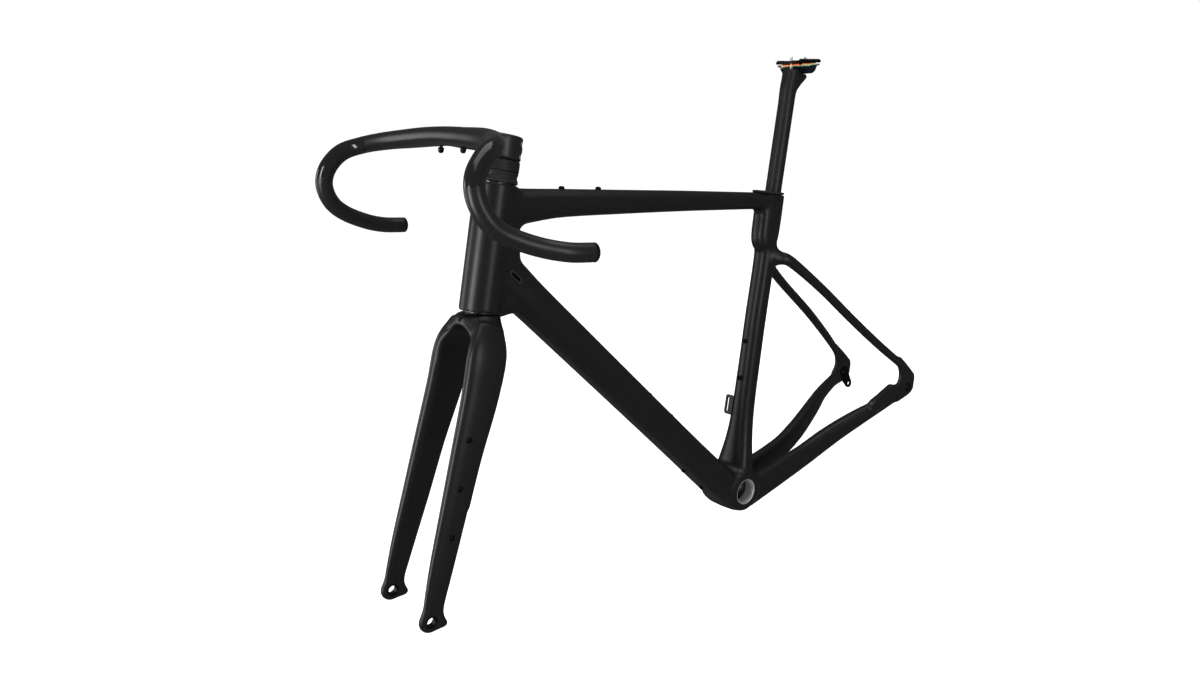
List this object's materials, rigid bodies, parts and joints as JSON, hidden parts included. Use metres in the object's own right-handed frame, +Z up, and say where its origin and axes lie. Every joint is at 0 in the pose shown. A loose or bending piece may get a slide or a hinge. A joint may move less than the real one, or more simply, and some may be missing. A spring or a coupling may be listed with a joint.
{
  "type": "bicycle frameset",
  "caption": "Gravel bicycle frameset with disc-brake fork, one-piece drop bar and stem, seatpost and saddle clamp; the fork steers and the post slides.",
  "frame": {"origin": "centre of the bottom bracket, on the bicycle's middle plane", "axes": "-X forwards, +X backwards along the bicycle, +Y to its right (drive) side along the crank axis, +Z up"},
  "size_m": [1.0742, 0.4876, 0.7441],
  "materials": {
    "satin_carbon": "satin black clear-coated carbon fibre",
    "gloss_carbon": "gloss black carbon fibre",
    "matte_black": "matte black",
    "rubber": "soft matte",
    "black_steel": "black oxide",
    "steel": "bright",
    "aluminium": "machined",
    "bronze_anodised": "iridescent bronze anodised"
  },
  "bodies": {
    "root": {"bottom_bracket_insert_left": "aluminium", "bottom_bracket_insert_right": "aluminium", "bottom_bracket_shell": "satin_carbon", "cable_port_grommet": "rubber", "chainstay_left": "satin_carbon", "chainstay_right": "satin_carbon", "derailleur_hanger": "black_steel", "down_tube": "satin_carbon", "down_tube_bolt_lower": "black_steel", "down_tube_bolt_upper": "black_steel", "front_derailleur_bracket": "satin_carbon", "hanger_nut": "black_steel", "head_tube": "satin_carbon", "lower_bearing_outer_race": "steel", "rear_brake_bolt_front": "steel", "rear_brake_bolt_rear": "steel", "rear_dropout_left": "satin_carbon", "rear_dropout_right": "satin_carbon", "seat_clamp_bolt": "black_steel", "seat_clamp_cover": "rubber", "seat_clamp_wedge": "aluminium", "seat_tube": "satin_carbon", "seat_tube_bolt_lower": "black_steel", "seat_tube_bolt_upper": "black_steel", "seatstay_left": "satin_carbon", "seatstay_right": "satin_carbon", "top_tube": "satin_carbon", "top_tube_bolt_front": "black_steel", "top_tube_bolt_rear": "black_steel", "under_tube_bolt_front": "black_steel", "under_tube_bolt_rear": "black_steel", "upper_bearing_outer_race": "steel"},
    "steering": {"bar_plug_left": "rubber", "bar_plug_right": "rubber", "compression_ring": "aluminium", "expander_plug": "aluminium", "fork": "satin_carbon", "fork_bolt_left_lower": "black_steel", "fork_bolt_left_middle": "black_steel", "fork_bolt_left_upper": "black_steel", "fork_bolt_right_lower": "black_steel", "fork_bolt_right_middle": "black_steel", "fork_bolt_right_upper": "black_steel", "handlebar": "gloss_carbon", "handlebar_bolt_left": "black_steel", "handlebar_bolt_right": "black_steel", "headset_cover": "matte_black", "headset_spacer": "matte_black", "lower_bearing_inner_race": "steel", "steerer_cap": "matte_black", "steerer_cap_bolt": "black_steel", "stem_clamp_bolt_lower": "steel", "stem_clamp_bolt_upper": "steel", "upper_bearing_inner_race": "steel"},
    "seatpost": {"seatpost": "gloss_carbon"},
    "saddle_clamp": {"saddle_clamp_bolt_front": "steel", "saddle_clamp_bolt_rear": "steel", "saddle_clamp_cradle": "bronze_anodised", "saddle_clamp_top": "matte_black"}
  },
  "joints": [
    {"name": "steering", "type": "hinge", "parent": "root", "child": "steering", "pos_m": [-0.3842, 0, 0.5907], "axis": [0.3107, 0, 0.9505], "range_deg": [-65, 65]},
    {"name": "seatpost_height", "type": "slide", "parent": "root", "child": "seatpost", "axis": [0.3007, 0, 0.9537], "range_m": [-0.09, 0.03]},
    {"name": "saddle_tilt", "type": "hinge", "parent": "seatpost", "child": "saddle_clamp", "pos_m": [0.235, 0, 0.6915], "axis": [0, 1, 0], "range_deg": [-8, 8]}
  ]
}
